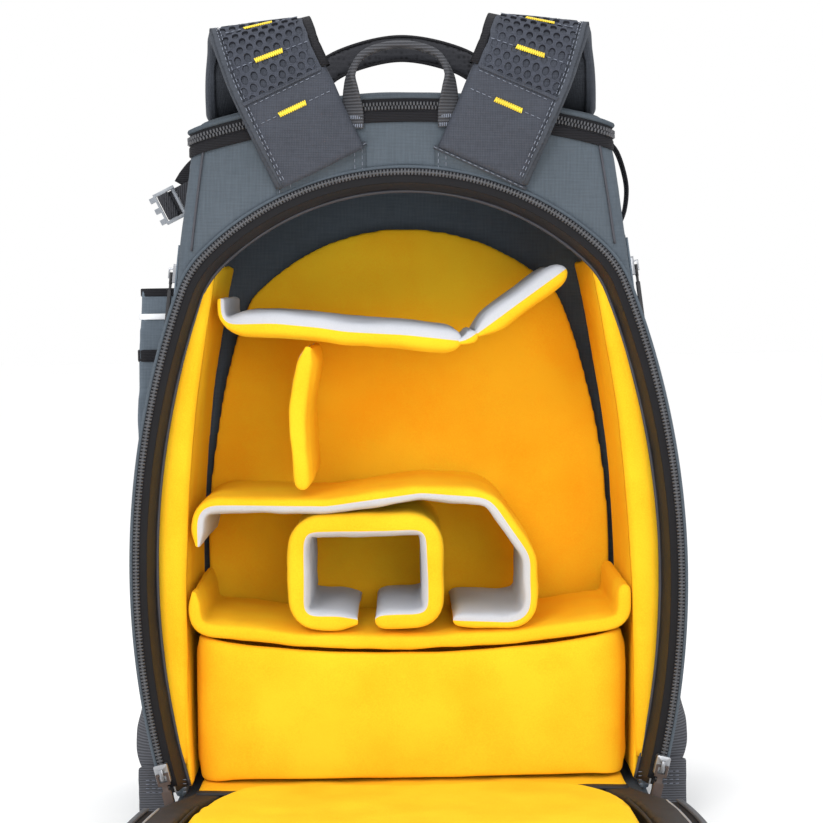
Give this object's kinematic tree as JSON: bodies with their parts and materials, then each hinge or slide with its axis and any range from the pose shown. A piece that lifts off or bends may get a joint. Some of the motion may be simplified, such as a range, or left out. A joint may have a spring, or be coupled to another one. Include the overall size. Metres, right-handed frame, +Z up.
{
  "type": "camera backpack",
  "caption": "Upright camera backpack whose padded rear door zips open to a lining with removable padded dividers.",
  "frame": {"origin": "middle of the base, on the surface that the bag stands on", "axes": "+Z up, -Y towards the wearer's back, the side that opens, +X to the right when looking into the opening"},
  "size_m": [0.4116, 0.7069, 0.5972],
  "materials": {
    "shell_fabric": "fine grey woven nylon",
    "yoke_fabric": "fine grey woven nylon",
    "lid_fabric": "fine grey woven nylon",
    "gusset_fabric": "smooth black coated fabric",
    "yellow_lining": "brushed bright yellow loop fabric",
    "divider_fabric": "brushed yellow loop fabric with pale grey faces",
    "strap_mesh": "grey air mesh",
    "black_webbing": "ribbed black webbing",
    "grey_webbing": "ribbed grey webbing",
    "zip_chain": "black coil zip",
    "zip_slider": "grey die-cast metal",
    "zip_puller": "moulded cord pull",
    "buckle_plastic": "moulded acetal",
    "stiffener_plastic": "smooth sheet",
    "air_mesh": "spacer mesh"
  },
  "bodies": {
    "case": {"front_panel": "shell_fabric", "left_side_panel": "shell_fabric", "right_side_panel": "shell_fabric", "base_panel": "shell_fabric", "lid_panel": "lid_fabric", "yoke_panel": "yoke_fabric", "opening_gusset": "gusset_fabric", "door_zip_case_half": "zip_chain", "lid_zip_chain": "zip_chain", "left_side_zip_chain": "zip_chain", "right_side_zip_chain": "zip_chain", "left_lining": "yellow_lining", "right_lining": "yellow_lining", "front_lining": "yellow_lining", "floor_lining": "yellow_lining", "left_shoulder_strap": "strap_mesh", "right_shoulder_strap": "strap_mesh", "left_strap_webbing": "black_webbing", "right_strap_webbing": "black_webbing", "left_wing": "black_webbing", "right_wing": "black_webbing", "carry_handle_tails": "black_webbing", "left_side_pocket": "shell_fabric", "right_side_pocket": "shell_fabric", "front_pocket": "shell_fabric", "front_pocket_zip_chain": "zip_chain", "left_compression_strap": "black_webbing", "right_compression_loop": "black_webbing"},
    "door": {"door_rim": "gusset_fabric", "door_lining_pad": "yellow_lining", "door_stiffener": "stiffener_plastic", "door_outer_cover": "shell_fabric", "door_back_pads": "air_mesh", "door_zip_door_half": "zip_chain"},
    "left_door_slider": {"left_door_slider": "zip_slider"},
    "left_door_puller": {"left_door_puller": "zip_puller"},
    "right_door_slider": {"right_door_slider": "zip_slider"},
    "right_door_puller": {"right_door_puller": "zip_puller"},
    "left_side_slider": {"left_side_slider": "zip_slider"},
    "left_side_puller": {"left_side_puller": "zip_puller"},
    "right_side_slider": {"right_side_slider": "zip_slider"},
    "right_side_puller": {"right_side_puller": "zip_puller"},
    "lid_slider": {"lid_slider": "zip_slider"},
    "lid_puller": {"lid_puller": "zip_puller"},
    "front_pocket_slider": {"front_pocket_slider": "zip_slider"},
    "front_pocket_puller": {"front_pocket_puller": "zip_puller"},
    "carry_handle": {"carry_handle": "grey_webbing"},
    "grab_handle": {"grab_handle": "air_mesh"},
    "left_compression_buckle": {"left_compression_buckle": "buckle_plastic"},
    "left_strap_adjuster": {"left_strap_adjuster": "buckle_plastic"},
    "right_strap_adjuster": {"right_strap_adjuster": "buckle_plastic"},
    "upper_shelf": {"upper_shelf": "divider_fabric"},
    "upper_shelf_flap": {"upper_shelf_flap": "divider_fabric"},
    "upright_divider": {"upright_divider": "divider_fabric"},
    "middle_shelf": {"middle_shelf": "divider_fabric"},
    "lens_cell": {"lens_cell": "divider_fabric"},
    "lower_shelf": {"lower_shelf": "divider_fabric"},
    "base_box": {"base_box": "divider_fabric"}
  },
  "joints": [
    {"name": "door_hinge", "type": "hinge", "parent": "case", "child": "door", "pos_m": [0, -0.119, 0.032], "axis": [-1, 0, 0], "range_deg": [0, 90]},
    {"name": "left_door_zip", "type": "hinge", "parent": "case", "child": "left_door_slider", "pos_m": [0.404, -0.119, 0.185], "axis": [0, -1, 0], "range_deg": [-33, 0]},
    {"name": "left_door_pull", "type": "hinge", "parent": "left_door_slider", "child": "left_door_puller", "pos_m": [-0.18069, -0.12545, 0.047], "axis": [-0.9733, 0, -0.2297], "range_deg": [0, 120]},
    {"name": "left_side_zip", "type": "hinge", "parent": "case", "child": "left_side_slider", "pos_m": [2.021, -0.07725, 0.15], "axis": [0, -1, 0], "range_deg": [0, 7.5]},
    {"name": "left_side_pull", "type": "hinge", "parent": "left_side_slider", "child": "left_side_puller", "pos_m": [-0.17053, -0.07725, 0.40876], "axis": [0, -1, 0], "range_deg": [-120, 0]},
    {"name": "left_adjuster_tilt", "type": "hinge", "parent": "case", "child": "left_strap_adjuster", "pos_m": [-0.119, 0.115, 0.422], "axis": [1, 0, 0], "range_deg": [0, 40]},
    {"name": "right_door_zip", "type": "hinge", "parent": "case", "child": "right_door_slider", "pos_m": [-0.404, -0.119, 0.185], "axis": [0, 1, 0], "range_deg": [-33, 0]},
    {"name": "right_door_pull", "type": "hinge", "parent": "right_door_slider", "child": "right_door_puller", "pos_m": [0.18069, -0.12545, 0.047], "axis": [-0.9733, 0, 0.2297], "range_deg": [0, 120]},
    {"name": "right_side_zip", "type": "hinge", "parent": "case", "child": "right_side_slider", "pos_m": [-2.021, -0.07725, 0.15], "axis": [0, 1, 0], "range_deg": [0, 7.5]},
    {"name": "right_side_pull", "type": "hinge", "parent": "right_side_slider", "child": "right_side_puller", "pos_m": [0.17053, -0.07725, 0.40876], "axis": [0, 1, 0], "range_deg": [-120, 0]},
    {"name": "right_adjuster_tilt", "type": "hinge", "parent": "case", "child": "right_strap_adjuster", "pos_m": [0.119, 0.115, 0.422], "axis": [1, 0, 0], "range_deg": [0, 40]},
    {"name": "lid_zip", "type": "slide", "parent": "case", "child": "lid_slider", "axis": [0, 1, 0], "range_m": [-0.06, 0]},
    {"name": "lid_pull", "type": "hinge", "parent": "lid_slider", "child": "lid_puller", "pos_m": [0.15926, 0.06, 0.50288], "axis": [0, 0, -1], "range_deg": [0, 120]},
    {"name": "front_pocket_zip", "type": "slide", "parent": "case", "child": "front_pocket_slider", "axis": [1, 0, 0], "range_m": [0, 0.168]},
    {"name": "front_pocket_pull", "type": "hinge", "parent": "front_pocket_slider", "child": "front_pocket_puller", "pos_m": [-0.084, 0.13775, 0.35], "axis": [0, 0, 1], "range_deg": [0, 120]},
    {"name": "carry_handle_flop", "type": "hinge", "parent": "case", "child": "carry_handle", "pos_m": [0, -0.125, 0.535], "axis": [1, 0, 0], "range_deg": [-25, 50]},
    {"name": "grab_handle_flop", "type": "hinge", "parent": "case", "child": "grab_handle", "pos_m": [0, 0.092, 0.541], "axis": [1, 0, 0], "range_deg": [-70, 60]},
    {"name": "compression_buckle_swing", "type": "hinge", "parent": "case", "child": "left_compression_buckle", "pos_m": [-0.17005, -0.02, 0.46414], "axis": [0.4384, 0, -0.8988], "range_deg": [-60, 60]},
    {"name": "upper_shelf_lift_out", "type": "slide", "parent": "case", "child": "upper_shelf", "axis": [0, 1, 0], "range_m": [-0.2, 0]},
    {"name": "upper_shelf_flap_fold", "type": "hinge", "parent": "upper_shelf", "child": "upper_shelf_flap", "pos_m": [0.046, 0, 0.356], "axis": [0, 1, 0], "range_deg": [-20, 25]},
    {"name": "upright_divider_lift_out", "type": "slide", "parent": "case", "child": "upright_divider", "axis": [0, 1, 0], "range_m": [-0.2, 0]},
    {"name": "middle_shelf_lift_out", "type": "slide", "parent": "case", "child": "middle_shelf", "axis": [0, 1, 0], "range_m": [-0.2, 0]},
    {"name": "lens_cell_lift_out", "type": "slide", "parent": "case", "child": "lens_cell", "axis": [0, 1, 0], "range_m": [-0.2, 0]},
    {"name": "lower_shelf_lift_out", "type": "slide", "parent": "case", "child": "lower_shelf", "axis": [0, 1, 0], "range_m": [-0.2, 0]},
    {"name": "base_box_lift_out", "type": "slide", "parent": "case", "child": "base_box", "axis": [0, 1, 0], "range_m": [-0.2, 0]}
  ]
}
